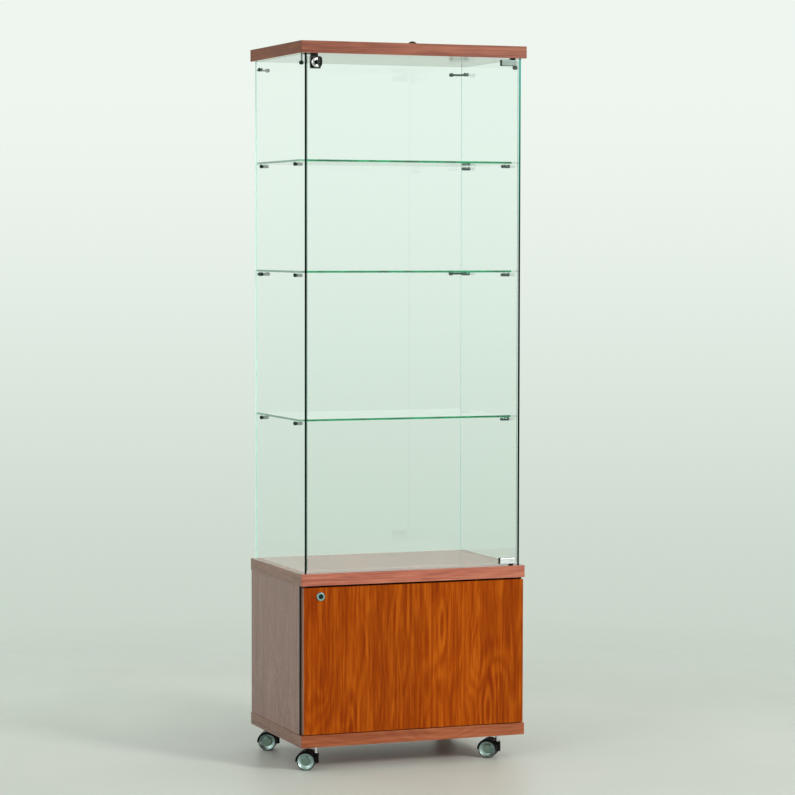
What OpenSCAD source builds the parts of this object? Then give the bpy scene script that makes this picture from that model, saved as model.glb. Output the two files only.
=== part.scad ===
// Tall glass display case on a closed base cabinet, standing on four twin-wheel casters.
// The front faces -Y, +Z is up and X = 0 is the middle of the case.
// The origin lies on the floor, under the centre of the slabs.

/* [Slabs] */
// Width of the three slabs
case_w = 600; // [500:10:900]
// Depth of the three slabs
case_d = 400; // [350:10:600]
// Thickness of the slabs
slab_t = 30; // [24:1:40]
// Radius of the slabs' upright corners
slab_corner = 1.5; // [0.5:0.5:3]

/* [Base cabinet] */
// Height between the bottom slab and the base top
base_h = 372; // [300:1:500]
// Thickness of the side panels and the door
board_t = 18; // [16:0.5:22]
// How far the side panels stand in from the slabs' ends
side_inset = 1.5; // [0.5:0.5:5]
// Thickness of the back board
back_t = 8; // [6:0.5:12]
// How far the back board stands in from the slabs' rear edge
back_inset = 12; // [8:1:30]
// Depth of the grooves that hold the back board
back_groove = 6; // [3:0.5:8]
// Width of the black dust seals
seal_w = 8; // [5:0.5:14]
// Thickness of the black dust seals
seal_t = 2.2; // [1.5:0.1:4]

/* [Base door] */
// Gap above the door
door_gap_top = 5; // [3:0.5:8]
// Gap below the door
door_gap_bottom = 2; // [1:0.5:5]
// Gap between the door's lock edge and the slab's end
door_gap_lock = 6.5; // [3:0.5:12]
// Gap between the door's hinge edge and the slab's end
door_gap_hinge = 4.5; // [3:0.5:8]
// Gap between the closed door and its seals
door_back_gap = 0.3; // [0.2:0.1:1]
// Distance of each hinge from the nearer end of the door
hinge_end = 80; // [60:5:110]
// Diameter of the hinge cups
cup_d = 35; // [30:0.5:38]
// Depth of the hinge cups
cup_depth = 11.5; // [10:0.5:13]
// Distance of the cup's edge from the door's edge
cup_edge = 5; // [4:0.5:7]

/* [Base lock] */
// Distance of the lock's axis from the slab's end
base_lock_x = 50.5; // [45:0.5:80]
// Distance of the lock's axis below the base top
base_lock_z = 27; // [26:0.2:50]
// Diameter of the lock's rosette
rosette_d = 23; // [22:0.5:28]
// Thickness of the lock's rosette
rosette_t = 2.5; // [1.5:0.5:4]
// Diameter of the lock's barrel
barrel_d = 18; // [16:0.5:19]
// Diameter of the turning plug
plug_d = 12; // [10:0.5:13]

/* [Glass case] */
// Clear height between the base top and the top slab
glass_h = 1280; // [900:10:1600]
// Thickness of all the glass
glass_t = 5; // [4:0.5:8]
// How far the side glass stands in from the slabs' ends
glass_inset = 12; // [8:0.5:20]
// How far the glass stands back from the slabs' front edge
glass_front = 10; // [8:0.5:20]
// How far the back glass stands in from the slabs' rear edge
glass_back = 5; // [4:0.5:15]
// Depth of the grooves that hold the glass
groove_depth = 4; // [3:0.5:8]
// Play of the glass in its grooves, each side
groove_play = 0.1; // [0.05:0.05:0.5]
// Radius of the ground corners of the glass
glass_corner = 1; // [0.5:0.5:3]

/* [Shelves] */
// Height of the lower shelf's underside over the base top
lower_shelf_h = 374; // [300:1:450]
// Height of the middle shelf's underside over the base top
middle_shelf_h = 742; // [600:1:800]
// Height of the upper shelf's underside over the base top
upper_shelf_h = 1017; // [900:1:1120]
// How far the shelves stand back from the slabs' front edge
shelf_front = 55; // [45:1:120]
// Gap between a shelf and the glass at its sides and back
shelf_gap = 0.5; // [0.3:0.1:2]
// Distance of the front supports from the shelf's front edge
support_front = 27; // [20:1:70]
// Distance of the rear supports from the shelf's rear edge
support_rear = 43; // [43:1:80]
// Diameter of the support barrels
support_d = 9; // [8:0.5:12]
// Length of the support barrels inside the glass
support_len = 17; // [12:1:25]
// Diameter of the bolts through the glass
bolt_d = 5; // [4:0.5:6]
// Thickness of the clear pads under the shelves
pad_t = 2.5; // [1.5:0.5:4]

/* [Glass connectors] */
// Diameter of the round heads
head_d = 10; // [9:0.5:14]
// Height of the round heads
head_h = 5; // [3.5:0.5:6]
// Distance of the connectors below the top slab
connector_drop = 22; // [18:1:40]
// Gap between the middle shelf and the corner connectors below it
lower_connector_drop = 1.5; // [1:0.5:30]
// Distance of each bolt from the back corner
connector_leg = 30; // [24:1:45]
// Width of the corner straps
strap_w = 5; // [4:0.5:12]
// Thickness of the corner straps and the roof brackets
strap_t = 3; // [1.5:0.5:4]
// Distance of the front connectors from the slabs' front edge
front_connector_y = 38; // [34:1:60]

/* [Glass door] */
// Gap between the door and the side glass
pane_side_gap = 2; // [1:0.5:5]
// Gap above and below the pane
pane_end_gap = 6.5; // [5:0.5:12]
// Distance of the pivots from the slab's end
pivot_x = 33.5; // [30:0.5:60]
// Length of the hinge clamps
clamp_l = 40; // [32:1:50]
// Length of the clamps beyond the pivot, on the hinge side
clamp_tail = 8; // [6:0.5:12]
// Height of the hinge clamps
clamp_h = 15; // [12:0.5:20]
// Depth of the hinge clamps, front to back
clamp_d = 15; // [12:0.5:18]
// Thickness of the gaskets in the clamps
gasket_t = 1; // [0.5:0.1:1.5]
// Diameter of the pivot pins
pivot_d = 5; // [4:0.5:6]
// Length of the pivot pins
pivot_len = 9; // [7:0.5:14]
// Diameter of the pivot bushes
bush_d = 12; // [10:0.5:14]
// Gap between the lower bush and the clamp that rests on it
bush_gap = 0.3; // [0.2:0.1:1]
// Running clearance of turning pins, on the radius
run_gap = 0.05; // [0.02:0.01:0.1]

/* [Glass lock] */
// Distance of the lock's axis from the slab's end
glass_lock_x = 42; // [38:0.5:80]
// Distance of the lock's axis below the top slab
glass_lock_z = 22; // [21:0.5:40]
// Width of the black lock case
lock_case_w = 26; // [24:0.5:34]
// Height of the black lock case
lock_case_h = 30; // [24:0.5:40]
// Thickness of the black lock case, behind the glass
lock_case_t = 9; // [7:0.5:14]
// Diameter of the chrome ring
ring_d = 25; // [22:0.5:28]
// Thickness of the chrome ring
ring_t = 6; // [3:0.5:8]
// Diameter of the key's round head
key_head_d = 24; // [18:0.5:30]
// Thickness of the key's head
key_head_t = 5; // [3:0.5:6]
// Distance of the key's head from the ring
key_reach = 9; // [5:0.5:14]

/* [Lock cams] */
// Length of the glass lock's cam, from its axis
glass_cam_l = 18.5; // [16:0.5:20]
// Length of the base lock's cam, from its axis
base_cam_l = 25; // [20:0.5:26]
// Width of the cams
cam_w = 11; // [8:0.5:14]
// Thickness of the cams
cam_t = 2; // [1.5:0.5:3]
// How deep the strikes hang behind the door
strike_drop = 12; // [10:0.5:13]
// Width of the strikes
strike_w = 20; // [16:1:30]
// Sheet thickness of the strikes
strike_t = 1.5; // [1:0.5:2]

/* [Casters] */
// Height from the floor to the bottom slab
caster_h = 64; // [60:1:90]
// Diameter of the wheels
wheel_d = 46; // [40:1:52]
// Width of each wheel
wheel_w = 13; // [12:0.5:18]
// Width of the hood's core between the wheels
core_w = 12.5; // [12.5:0.5:18]
// Gap beside each wheel
wheel_gap = 0.5; // [0.3:0.1:1.5]
// Thickness of the hood's cheeks
cheek_t = 1.6; // [1.2:0.1:3]
// Gap between the tyre and the hood
tyre_gap = 0.8; // [0.6:0.1:3]
// Thickness of the hood's rim
rim_t = 2.2; // [1.8:0.1:4]
// Trail of the axle behind the swivel axis
caster_trail = 22; // [18:0.5:28]
// Distance of the swivel axes from the slab's ends
caster_x = 54; // [50:1:90]
// Distance of the swivel axes from the slab's front and rear edges
caster_y = 48; // [48:1:90]
// Diameter of the swivel stem
stem_d = 10; // [8:0.5:10]
// Diameter of the axle
axle_d = 8; // [6:0.5:9]
// Diameter of the wheel caps, at most 3 less than the wheels'
cap_d = 42; // [34:0.5:44]
// Width of the square mounting plate
plate_w = 42; // [38:1:56]
// Thickness of the mounting plate
plate_t = 2.5; // [2:0.5:4]
// Heading of the front left caster's wheels
turn_fl = 152; // [0:1:359]
// Heading of the front right caster's wheels
turn_fr = 144; // [0:1:359]
// Heading of the rear left caster's wheels
turn_rl = 154; // [0:1:359]
// Heading of the rear right caster's wheels
turn_rr = 148; // [0:1:359]

/* [Top plug] */
// Diameter of the black plug in the top slab
plug_cap_d = 21; // [16:0.5:30]
// Height of the plug above the top slab
plug_cap_h = 6.5; // [4:0.5:9]
// Distance of the plug from the slab's front edge
plug_cap_y = 24; // [20:1:200]

/* [Hidden] */
FRONT = -case_d / 2;
BACK = case_d / 2;
RIGHT = case_w / 2;

// Heights of the case's levels
Z_SOLE = caster_h;
Z_BASE = Z_SOLE + slab_t;
Z_BASE_ROOF = Z_BASE + base_h;
Z_SHOW = Z_BASE_ROOF + slab_t;
Z_ROOF = Z_SHOW + glass_h;
Z_TOP = Z_ROOF + slab_t;

// Base cabinet
side_front = FRONT + board_t + door_back_gap + seal_t;
side_back = BACK - 2;
side_out = RIGHT - side_inset;
side_in = side_out - board_t;
back_y = BACK - back_inset - back_t;
board_play = 0.1;

// Base door: its left and right edges, its lower and upper ends, and its rear face
door_l = -RIGHT + door_gap_lock;
door_r = RIGHT - door_gap_hinge;
door_z0 = Z_BASE + door_gap_bottom;
door_z1 = Z_BASE_ROOF - door_gap_top;
door_back = FRONT + board_t;

cup_x = door_r - cup_edge - cup_d / 2;
hinge_z = [door_z0 + hinge_end, door_z1 - hinge_end];
cup_wall = 1.2;
cup_flange_t = 1.2;

// Hinge arms and their mounting plates
arm_l = 64;
arm_w = 16;
arm_h = 9;
arm_wall = 1.5;
arm_plate_y = 40;
arm_plate_z = 50;
arm_plate_t = 2.5;
ARM_SCREW_Y = [arm_l * 0.47, arm_l * 0.75];

// Base lock
base_lock = [-RIGHT + base_lock_x, Z_BASE_ROOF - base_lock_z];
lock_nut_t = 4;
base_barrel_back = door_back + lock_nut_t + 4;

// Glass case
glass_out = RIGHT - glass_inset;
glass_in = glass_out - glass_t;
glass_y0 = FRONT + glass_front;
glass_y1 = BACK - glass_back;
back_glass_y = glass_y1 - glass_t;
glass_z0 = Z_SHOW - groove_depth;
glass_z1 = Z_ROOF + groove_depth;
bolt_hole_d = bolt_d + 0.4;

// Shelves
SHELF_Z = [for (h = [lower_shelf_h, middle_shelf_h, upper_shelf_h]) Z_SHOW + h];
shelf_y0 = FRONT + shelf_front;
shelf_y1 = back_glass_y - shelf_gap;
shelf_half = glass_in - shelf_gap;
SUPPORT_Y = [shelf_y0 + support_front, shelf_y1 - support_rear];
flat_drop = 1;
support_drop = pad_t + support_d / 2 - flat_drop;

// Glass connectors
CONNECTOR_Z = [SHELF_Z[1] - lower_connector_drop - max(strap_w, head_d) / 2, Z_ROOF - connector_drop];
connector_y = back_glass_y - connector_leg;
connector_x = glass_in - connector_leg;
roof_bolt_y = FRONT + front_connector_y;
bracket_w = 10;
bracket_leg = 13;

// Glass door: the pane lies in the plane of its two pivots
pane_l = -glass_in + pane_side_gap;
pane_r = glass_in - pane_side_gap;
pane_z0 = Z_SHOW + pane_end_gap;
pane_z1 = Z_ROOF - pane_end_gap;
pane_y = glass_y0 + glass_t / 2;
pivot = [RIGHT - pivot_x, pane_y];
clamp_bridge = 2;
clamp_x0 = pivot[0] + clamp_tail - clamp_l;
clamp_slot = glass_t + 2 * gasket_t;
bush_sink = 8;
clamp_rest = pane_end_gap - clamp_bridge;

// Glass lock
glass_lock = [-RIGHT + glass_lock_x, Z_ROOF - glass_lock_z];
glass_barrel_d = barrel_d + 1;
case_back = pane_y + glass_t / 2 + lock_case_t;
ring_front = glass_y0 - ring_t;
plug_gap = run_gap;

// Casters: name, x, y and heading
CASTERS = [
    ["front_left", -RIGHT + caster_x, FRONT + caster_y, turn_fl],
    ["front_right", RIGHT - caster_x, FRONT + caster_y, turn_fr],
    ["rear_left", -RIGHT + caster_x, BACK - caster_y, turn_rl],
    ["rear_right", RIGHT - caster_x, BACK - caster_y, turn_rr]
];
CASTER_PARTS = ["hood", "axle", "left_wheel", "right_wheel", "left_cap", "right_cap"];
axle_z = wheel_d / 2;
wheel_in = core_w / 2 + wheel_gap;
wheel_out = wheel_in + wheel_w;
hood_half = wheel_out + wheel_gap + cheek_t;
hood_in_r = wheel_d / 2 + tyre_gap;
hood_r = hood_in_r + rim_t;
cap_t = 8;
cap_dish = 6.5;
cap_hub_d = 21;
cap_hub_drop = 1.5;
head_t = 1.5;
axle_head_d = axle_d + 3;
axle_end = wheel_out - cap_t - head_t - 0.4;
neck_top = axle_z + wheel_d * 0.42;
collar_d = stem_d + 5;
collar_t = 2;
caster_hole = plate_w / 2 - 6;

$fn = 48;

// ---------- helpers ----------

// A box from its lowest corner to its highest corner
module span(lo, hi) {
    translate(lo) cube(hi - lo);
}

// A cylinder along X, from x = 0 to x = h
module x_rod(d, h) {
    rotate([0, 90, 0]) cylinder(d = d, h = h);
}

// A cylinder along Y, from y = 0 to y = h
module y_rod(d, h) {
    rotate([-90, 0, 0]) cylinder(d = d, h = h);
}

// A domed round head on z = 0, with a cylindrical skirt
module round_head(d, h) {
    skirt = h * 0.3;
    crown = h - skirt;
    r = (pow(d / 2, 2) + pow(crown, 2)) / (2 * crown);
    cylinder(d = d, h = skirt);
    intersection() {
        translate([0, 0, skirt + crown - r]) sphere(r = r);
        translate([0, 0, skirt]) cylinder(d = d, h = crown);
    }
}

// A plate of length x and width y with rounded corners
module rounded_plate(x, y, t, r) {
    linear_extrude(t) {
        union() {
            translate([r, 0]) square([x - 2 * r, y]);
            translate([0, r]) square([x, y - 2 * r]);
            for (i = [r, x - r], j = [r, y - r]) translate([i, j]) circle(r);
        }
    }
}

// The same on the left and the right of the case
module both_sides() {
    children();
    mirror([1, 0, 0]) children();
}

// ---------- slabs and base cabinet ----------

module slab(z) {
    translate([-RIGHT, FRONT, z]) rounded_plate(case_w, case_d, slab_t, slab_corner);
}

// The grooves that the side glass and the back glass stand in, cut at one slab's face
module glass_grooves(z) {
    p = groove_play;
    both_sides() span([glass_in - p, glass_y0 - p, z], [glass_out + p, glass_y1 + p, z + groove_depth]);
    span([-glass_in, back_glass_y - p, z], [glass_in, glass_y1 + p, z + groove_depth]);
}

module bottom_panel() {
    color("indianred") slab(Z_SOLE);
}

module base_top_panel() {
    color("indianred") difference() {
        slab(Z_BASE_ROOF);
        glass_grooves(Z_SHOW - groove_depth);
        translate([pivot[0], pivot[1], Z_SHOW - bush_sink]) cylinder(d = bush_d, h = bush_sink + 1);
    }
}

module top_panel() {
    color("indianred") difference() {
        slab(Z_ROOF);
        glass_grooves(Z_ROOF);
        translate([pivot[0], pivot[1], Z_ROOF - 1]) cylinder(d = bush_d, h = bush_sink + 1);
        translate([0, FRONT + plug_cap_y, Z_TOP - 12]) cylinder(d = plug_cap_d + 0.4, h = 13);
    }
}

// A black blind plug, domed, in a blind hole of its own size
module top_plug() {
    color("dimgray") translate([0, FRONT + plug_cap_y, Z_TOP]) {
        translate([0, 0, -12]) cylinder(d = plug_cap_d, h = 12);
        round_head(plug_cap_d, plug_cap_h);
    }
}

// The right side panel, grooved for the back board
module side_panel() {
    difference() {
        span([side_in, side_front, Z_BASE], [side_out, side_back, Z_BASE_ROOF]);
        span([side_in - 1, back_y - board_play, Z_BASE - 1],
             [side_in + back_groove, back_y + back_t + board_play, Z_BASE_ROOF + 1]);
    }
}

module left_side_panel() {
    color("rosybrown") mirror([1, 0, 0]) side_panel();
}

module right_side_panel() {
    color("rosybrown") side_panel();
}

module base_back_panel() {
    half = side_in + back_groove - board_play;
    color("tan") span([-half, back_y, Z_BASE], [half, back_y + back_t, Z_BASE_ROOF]);
}

// Black strips on the front edges of the side panels, against dust
module door_seals() {
    color("black") both_sides()
        span([side_out - seal_w, side_front - seal_t, Z_BASE + 1], [side_out, side_front, Z_BASE_ROOF - 1]);
}

// ---------- base door ----------

module base_door_panel() {
    color("chocolate") difference() {
        span([door_l, FRONT, door_z0], [door_r, door_back, door_z1]);
        for (z = hinge_z) translate([cup_x, door_back - cup_depth, z]) y_rod(cup_d, cup_depth + 1);
        translate([base_lock[0], FRONT - 1, base_lock[1]]) y_rod(barrel_d + 0.2, board_t + 2);
    }
}

// One hinge cup: a drawn steel cup with a flange that is screwed to the door's rear
module hinge_cup() {
    flange_x = 18;
    flange_z = 52;
    screw_reach = 22.5;
    difference() {
        union() {
            translate([0, -cup_depth, 0]) y_rod(cup_d - 0.1, cup_depth);
            translate([-flange_x / 2 - 4, 0, -flange_z / 2])
                rotate([90, 0, 0]) mirror([0, 0, 1]) rounded_plate(flange_x, flange_z, cup_flange_t, 4);
            y_rod(cup_d - 2, cup_flange_t);
        }
        translate([0, -cup_depth + cup_wall, 0]) y_rod(cup_d - 0.1 - 2 * cup_wall, cup_depth + 3);
    }
    for (s = [-1, 1]) translate([-4, cup_flange_t, s * screw_reach]) rotate([-90, 0, 0]) round_head(6.5, 1.8);
}

module hinge_cups() {
    color("silver") for (z = hinge_z) translate([cup_x, door_back, z]) hinge_cup();
}

// One hinge arm: a mounting plate on the side panel, the arm over it, and the link in the cup
module hinge_arm() {
    plate_x = side_in - arm_plate_t;
    top_x = plate_x - arm_h;
    arm_y0 = side_front + 6;
    tip_y = door_back - cup_depth + cup_wall + 3;
    translate([side_in, arm_y0 + 12, 0]) {
        rotate([0, -90, 0]) translate([-arm_plate_z / 2, 0, 0]) rounded_plate(arm_plate_z, arm_plate_y, arm_plate_t, 5);
        for (s = [-1, 1]) translate([-arm_plate_t, arm_plate_y / 2, s * arm_plate_z * 0.36]) rotate([0, -90, 0]) round_head(7, 2);
    }
    difference() {
        span([top_x, arm_y0, -arm_w / 2], [plate_x, arm_y0 + arm_l, arm_w / 2]);
        span([top_x + arm_wall, arm_y0 - 1, -arm_w / 2 + arm_wall],
             [plate_x - arm_wall, arm_y0 + arm_l - 2, arm_w / 2 - arm_wall]);
        for (y = ARM_SCREW_Y) translate([top_x - 1, arm_y0 + y, 0]) x_rod(5, 4);
    }
    for (y = ARM_SCREW_Y) translate([plate_x - arm_wall, arm_y0 + y, 0]) rotate([0, -90, 0]) cylinder(d = 4.6, h = arm_h - 1);
    linear_extrude(arm_w - 5, center = true)
        polygon([[top_x + arm_wall, arm_y0 + 8], [top_x + arm_wall, arm_y0 + 2], [cup_x + 6, tip_y + 6], [cup_x + 6, tip_y],
                 [cup_x - 8, tip_y], [cup_x - 8, tip_y + 4], [cup_x - 2, tip_y + 8], [top_x - 2, arm_y0 + 8]]);
}

module hinge_arms() {
    color("silver") for (z = hinge_z) translate([0, 0, z]) hinge_arm();
}

// ---------- base lock ----------

module base_lock_barrel() {
    color("gainsboro") translate([base_lock[0], 0, base_lock[1]]) difference() {
        union() {
            translate([0, FRONT - rosette_t, 0]) rotate([-90, 0, 0])
                cylinder(d1 = rosette_d - 3, d2 = rosette_d, h = rosette_t);
            translate([0, FRONT, 0]) y_rod(barrel_d, base_barrel_back - FRONT);
            translate([0, door_back, 0]) rotate([-90, 0, 0]) cylinder(d = 24, h = lock_nut_t, $fn = 6);
        }
        translate([0, FRONT - rosette_t - 1, 0]) y_rod(plug_d + 2 * plug_gap, 2 + base_barrel_back - FRONT + rosette_t);
    }
}

module base_lock_plug() {
    y0 = FRONT - rosette_t - 0.5;
    color("silver") translate([base_lock[0], y0, base_lock[1]]) difference() {
        y_rod(plug_d, base_barrel_back + 0.3 - y0);
        translate([-0.9, -1, -4]) cube([1.8, 7, 8]);
    }
}

// A flat cam and its screw on the end of a lock plug: it points to +X at rest
module cam(reach, y) {
    translate([0, y, 0]) rotate([-90, 0, 0]) {
        intersection() {
            union() {
                cylinder(d = cam_w + 3, h = cam_t);
                translate([0, -cam_w / 2, 0]) cube([reach, cam_w, cam_t]);
            }
            cylinder(r = reach, h = cam_t);
        }
        translate([0, 0, cam_t]) round_head(9, 3);
    }
}

module base_lock_cam() {
    color("silver") translate([base_lock[0], 0, base_lock[1]]) cam(base_cam_l, base_barrel_back + 0.3);
}

// One strike: a small steel angle screwed under a slab, its lip hanging in front of the cam
module strike(x, z, lip_y) {
    leg = 14;
    translate([x - strike_w / 2, lip_y - strike_t, z]) {
        translate([0, 0, -strike_drop]) cube([strike_w, strike_t, strike_drop]);
        translate([0, 0, -strike_t]) cube([strike_w, leg, strike_t]);
    }
    for (s = [-1, 1]) translate([x + s * 5, lip_y + leg * 0.55, z - strike_t]) mirror([0, 0, 1]) round_head(5, 1.6);
}

module lock_strikes() {
    color("dimgray") {
        strike(base_lock[0], Z_BASE_ROOF, base_barrel_back - 0.5);
        strike(glass_lock[0], Z_ROOF, case_back + strike_t + 0.7);
    }
}

// ---------- glass case ----------

// The right side glass with its bolt holes
module side_glass() {
    difference() {
        span([glass_in, glass_y0, glass_z0], [glass_out, glass_y1, glass_z1]);
        for (z = SHELF_Z, y = SUPPORT_Y) bolt_hole_x(y, z - support_drop);
        for (z = CONNECTOR_Z) bolt_hole_x(connector_y, z);
        bolt_hole_x(roof_bolt_y, Z_ROOF - connector_drop);
    }
}

module bolt_hole_x(y, z) {
    translate([glass_in - 1, y, z]) x_rod(bolt_hole_d, glass_t + 2);
}

module left_glass() {
    color("lightcyan", 0.5) mirror([1, 0, 0]) side_glass();
}

module right_glass() {
    color("lightcyan", 0.5) side_glass();
}

module back_glass() {
    half = glass_in - 0.3;
    color("lightcyan", 0.5) difference() {
        span([-half, back_glass_y, glass_z0], [half, glass_y1, glass_z1]);
        for (z = CONNECTOR_Z) both_sides()
            translate([connector_x, back_glass_y - 1, z]) y_rod(bolt_hole_d, glass_t + 2);
    }
}

module shelf(z) {
    color("lightcyan", 0.5) translate([-shelf_half, shelf_y0, z])
        rounded_plate(2 * shelf_half, shelf_y1 - shelf_y0, glass_t, glass_corner);
}

// One shelf support on the right glass: a barrel with a flat, a bolt, and a round head outside
module shelf_support() {
    difference() {
        translate([glass_in - support_len, 0, 0]) x_rod(support_d, support_len);
        translate([glass_in - support_len - 1, -support_d, support_d / 2 - flat_drop]) cube([support_len + 2, 2 * support_d, 5]);
    }
    translate([glass_in, 0, 0]) x_rod(bolt_d, glass_t);
    translate([glass_out, 0, 0]) rotate([0, 90, 0]) round_head(head_d, head_h);
}

module at_supports() {
    for (z = SHELF_Z, y = SUPPORT_Y) both_sides() translate([0, y, z]) children();
}

module shelf_supports() {
    color("silver") at_supports() translate([0, 0, -support_drop]) shelf_support();
}

module shelf_pads() {
    r = min(support_d * 0.3, support_len * 0.4);
    color("white", 0.6) at_supports() translate([glass_in - support_len / 2 - 1, 0, -pad_t]) cylinder(r = r, h = pad_t);
}

// One back corner strap: it follows both panes into the corner and is bolted to each
module corner_connector() {
    leg = connector_leg + strap_w / 2;
    bend = 6;
    linear_extrude(strap_w, center = true) difference() {
        translate([glass_in - leg, back_glass_y - leg]) square(leg);
        translate([glass_in - leg - 1, back_glass_y - leg - 1]) square([leg + 1 - strap_t, leg + 1 - strap_t - bend]);
        translate([glass_in - leg - 1, back_glass_y - leg - 1]) square([leg + 1 - strap_t - bend, leg + 1 - strap_t]);
        translate([glass_in - strap_t - bend, back_glass_y - strap_t - bend]) circle(bend);
        difference() {
            translate([glass_in - bend, back_glass_y - bend]) square(bend + 1);
            translate([glass_in - bend, back_glass_y - bend]) circle(bend);
        }
    }
    translate([glass_in - strap_t, connector_y, 0]) rotate([0, -90, 0]) round_head(head_d, head_h);
    translate([glass_in, connector_y, 0]) x_rod(bolt_d, glass_t);
    translate([glass_out, connector_y, 0]) rotate([0, 90, 0]) round_head(head_d, head_h);
    translate([connector_x, back_glass_y - strap_t, 0]) rotate([90, 0, 0]) round_head(head_d, head_h);
    translate([connector_x, back_glass_y, 0]) y_rod(bolt_d, glass_t);
    translate([connector_x, glass_y1, 0]) rotate([-90, 0, 0]) round_head(head_d, head_h * 0.8);
}

module corner_connectors() {
    color("silver") for (z = CONNECTOR_Z) both_sides() translate([0, 0, z]) corner_connector();
}

// One roof bracket: an angle under the top slab, bolted through the side glass
module roof_connector() {
    t = strap_t / 2;
    drop = connector_drop + bracket_w / 2;
    translate([0, roof_bolt_y, Z_ROOF]) {
        translate([glass_in - t, -bracket_w / 2, -drop]) cube([t, bracket_w, drop]);
        translate([glass_in - bracket_leg, -bracket_w / 2, -t]) cube([bracket_leg, bracket_w, t]);
        translate([glass_in - bracket_leg * 0.6, 0, -t]) mirror([0, 0, 1]) round_head(6, 2);
        translate([glass_in - t, 0, -connector_drop]) rotate([0, -90, 0]) round_head(head_d, head_h);
        translate([glass_in, 0, -connector_drop]) x_rod(bolt_d, glass_t);
        translate([glass_out, 0, -connector_drop]) rotate([0, 90, 0]) round_head(head_d, head_h);
    }
}

module roof_connectors() {
    color("silver") both_sides() roof_connector();
}

// ---------- glass door ----------

module glass_door_pane() {
    color("lightcyan", 0.5) difference() {
        translate([pane_l, pane_y + glass_t / 2, pane_z0]) rotate([90, 0, 0])
            rounded_plate(pane_r - pane_l, pane_z1 - pane_z0, glass_t, glass_corner);
        translate([glass_lock[0], glass_y0 - 1, glass_lock[1]]) y_rod(glass_barrel_d + 0.4, glass_t + 2);
    }
}

// The lower clamp, measured from the pane's lower edge: a slotted block with rounded front edges
module hinge_clamp() {
    difference() {
        translate([clamp_x0, pane_y - clamp_d / 2, -clamp_bridge]) rotate([90, 0, 90])
            rounded_plate(clamp_d, clamp_h, clamp_l, 1.2);
        span([clamp_x0 - 1, pane_y - clamp_slot / 2, 0], [clamp_x0 + clamp_l + 1, pane_y + clamp_slot / 2, clamp_h]);
        for (x = clamp_screw_x()) translate([x, pane_y + clamp_slot / 2 - 1, clamp_h / 2 - 1]) y_rod(4.2, clamp_d);
    }
    translate([pivot[0], pivot[1], -clamp_bridge - pivot_len]) cylinder(d = pivot_d, h = pivot_len);
}

function clamp_screw_x() = [clamp_x0 + 9, clamp_x0 + clamp_l - 9];

// The gaskets that the pane is gripped between
module clamp_gasket() {
    for (y = [pane_y - clamp_slot / 2, pane_y + glass_t / 2])
        translate([clamp_x0 + 0.5, y, 0]) cube([clamp_l - 1, gasket_t, clamp_h - clamp_bridge - 0.3]);
}

module clamp_screw_pair() {
    for (x = clamp_screw_x()) translate([x, pane_y + clamp_slot / 2, clamp_h / 2 - 1]) difference() {
        y_rod(4, clamp_d / 2 - clamp_slot / 2 - 0.3);
        translate([0, clamp_d / 2 - clamp_slot / 2 - 2.3, 0]) rotate([-90, 0, 0]) cylinder(d = 2.3, h = 4, $fn = 6);
    }
}

// The same at the lower and the upper end of the pane
module at_pane_ends() {
    translate([0, 0, pane_z0]) children();
    translate([0, 0, pane_z1]) mirror([0, 0, 1]) children();
}

module hinge_clamps() {
    color("gainsboro") at_pane_ends() hinge_clamp();
}

module clamp_gaskets() {
    color("black") at_pane_ends() clamp_gasket();
}

module clamp_screws() {
    color("silver") at_pane_ends() clamp_screw_pair();
}

// Black bushes sunk in the base top and the top slab: the door stands on the lower one
module pivot_bushes() {
    low = clamp_rest - bush_gap;
    color("black") {
        translate([pivot[0], pivot[1], Z_SHOW - bush_sink]) bush(bush_sink + low);
        translate([pivot[0], pivot[1], Z_ROOF + bush_sink]) mirror([0, 0, 1]) bush(bush_sink + low - 0.7);
    }
}

module bush(h) {
    difference() {
        cylinder(d = bush_d, h = h);
        translate([0, 0, 1.5]) cylinder(d = pivot_d + 2 * run_gap, h = h);
    }
}

// ---------- glass lock ----------

// The lock case behind the glass, its barrel through the glass and the ring in front
module glass_lock_case() {
    color("silver") translate([glass_lock[0], 0, glass_lock[1]]) difference() {
        union() {
            translate([-lock_case_w / 2, case_back, -lock_case_h / 2]) rotate([90, 0, 0])
                rounded_plate(lock_case_w, lock_case_h, lock_case_t, 2);
            translate([0, glass_y0 - 1, 0]) y_rod(glass_barrel_d, glass_t + 2);
            translate([0, ring_front, 0]) rotate([-90, 0, 0]) {
                cylinder(d1 = ring_d - 4, d2 = ring_d, h = ring_t * 0.35);
                translate([0, 0, ring_t * 0.35]) cylinder(d = ring_d, h = ring_t * 0.65);
            }
        }
        translate([0, ring_front - 1, 0]) y_rod(plug_d + 2 * plug_gap, case_back - ring_front + 2);
        translate([0, ring_front - 1, 0]) y_rod(plug_d + 4, 2.5);
    }
}

module glass_lock_plug() {
    y0 = ring_front + 0.5;
    color("silver") translate([glass_lock[0], y0, glass_lock[1]]) difference() {
        y_rod(plug_d, case_back + 0.3 - y0);
        translate([-1.1, -1, -4]) cube([2.2, 13, 8]);
    }
}

module glass_lock_cam() {
    color("silver") translate([glass_lock[0], 0, glass_lock[1]]) cam(glass_cam_l, case_back + 1.4 + strike_t);
    color("silver") translate([glass_lock[0], case_back + 0.3, glass_lock[1]]) y_rod(8, 1.1 + strike_t);
}

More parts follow.
